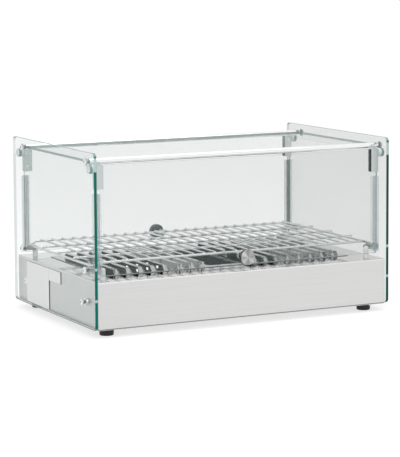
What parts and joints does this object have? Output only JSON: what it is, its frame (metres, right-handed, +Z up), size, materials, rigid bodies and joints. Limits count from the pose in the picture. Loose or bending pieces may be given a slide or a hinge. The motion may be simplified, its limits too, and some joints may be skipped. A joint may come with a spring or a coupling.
{
  "type": "heated display case",
  "caption": "Counter-top heated display case: steel heating base, glass sides and top, hinged glass doors front and rear, wire rack over a louvred deck and water tray.",
  "frame": {"origin": "centre of the overall box on the floor plane under the feet", "axes": "+X to the right seen from the front, +Y to the rear, +Z up"},
  "size_m": [0.558, 0.37, 0.299],
  "materials": {
    "brushed_case": "fine horizontal brushing",
    "polished_deck": "bright polished sheet",
    "plain_steel": "mill finish sheet",
    "screws": "bright plated",
    "foot_rubber": "matt black",
    "element_sheath": "heat-darkened sheath",
    "black_plastic": "fine matt",
    "dial_face": "satin ring",
    "rocker_red": "gloss",
    "lamp_amber": "clear gloss lens",
    "white_plastic": "matt",
    "plate_white": "bare satin plate",
    "side_glass": "clear float glass, polished edges",
    "door_glass": "clear float glass",
    "polished_rod": "polished",
    "satin_block": "satin",
    "clear_seal": "clear ribbed extrusion",
    "clear_nylon": "translucent",
    "rack_wire": "bright plated wire"
  },
  "bodies": {
    "base": {"base_shell": "brushed_case", "deck_plate": "polished_deck", "rear_panel": "brushed_case", "rear_panel_screws": "screws", "bottom_cover": "plain_steel", "bottom_screws": "screws", "rubber_feet": "foot_rubber", "foot_screws": "screws", "foot_nuts": "screws", "heating_element": "element_sheath", "element_terminals": "screws", "element_brackets": "plain_steel", "heat_reflector": "plain_steel", "thermostat_body": "black_plastic", "dial_bezel": "dial_face", "rocker_housing": "black_plastic", "rocker_pivot_pin": "screws", "pilot_lamp": "lamp_amber", "thermal_cutout": "screws", "terminal_block": "white_plastic", "cable_gland": "black_plastic", "gland_nut": "black_plastic", "rating_plates": "plate_white", "left_side_glass": "side_glass", "right_side_glass": "side_glass", "top_glass": "door_glass", "front_rod": "polished_rod", "rear_rod": "polished_rod", "rod_end_screws": "polished_rod", "rod_washers": "clear_nylon", "base_spacers": "polished_rod", "base_side_screws": "polished_rod", "base_side_nuts": "screws", "hinge_bushes": "satin_block", "door_stop_posts": "clear_nylon", "rack_studs": "polished_rod", "rack_stud_screws": "polished_rod"},
    "front_door": {"front_door_glass": "door_glass", "front_hinge_clamps": "satin_block", "front_clamp_set_screws": "screws", "front_hinge_pins": "screws", "front_door_seals": "clear_seal", "front_door_knob": "polished_rod", "front_knob_washers": "clear_nylon", "front_knob_screw": "screws"},
    "rear_door": {"rear_door_glass": "door_glass", "rear_hinge_clamps": "satin_block", "rear_clamp_set_screws": "screws", "rear_hinge_pins": "screws", "rear_door_seals": "clear_seal", "rear_door_knob": "polished_rod", "rear_knob_washers": "clear_nylon", "rear_knob_screw": "screws"},
    "rack": {"wire_rack": "rack_wire"},
    "tray": {"water_tray": "polished_deck"},
    "dial": {"thermostat_knob": "black_plastic"},
    "rocker": {"power_rocker": "rocker_red"}
  },
  "joints": [
    {"name": "front_door_swing", "type": "hinge", "parent": "base", "child": "front_door", "pos_m": [0, -0.1585, 0.272], "axis": [-1, 0, 0], "range_deg": [0, 95]},
    {"name": "rear_door_swing", "type": "hinge", "parent": "base", "child": "rear_door", "pos_m": [0, 0.1465, 0.272], "axis": [1, 0, 0], "range_deg": [0, 95]},
    {"name": "rack_lift", "type": "slide", "parent": "base", "child": "rack", "axis": [0, 0, 1], "range_m": [0, 0.06]},
    {"name": "tray_lift", "type": "slide", "parent": "base", "child": "tray", "axis": [0, 0, 1], "range_m": [0, 0.02]},
    {"name": "thermostat_turn", "type": "hinge", "parent": "base", "child": "dial", "pos_m": [-0.205, 0.167, 0.053], "axis": [0, 1, 0], "range_deg": [0, 270]},
    {"name": "power_rocker_tilt", "type": "hinge", "parent": "base", "child": "rocker", "pos_m": [-0.15, 0.1655, 0.053], "axis": [1, 0, 0], "range_deg": [0, 14]}
  ]
}
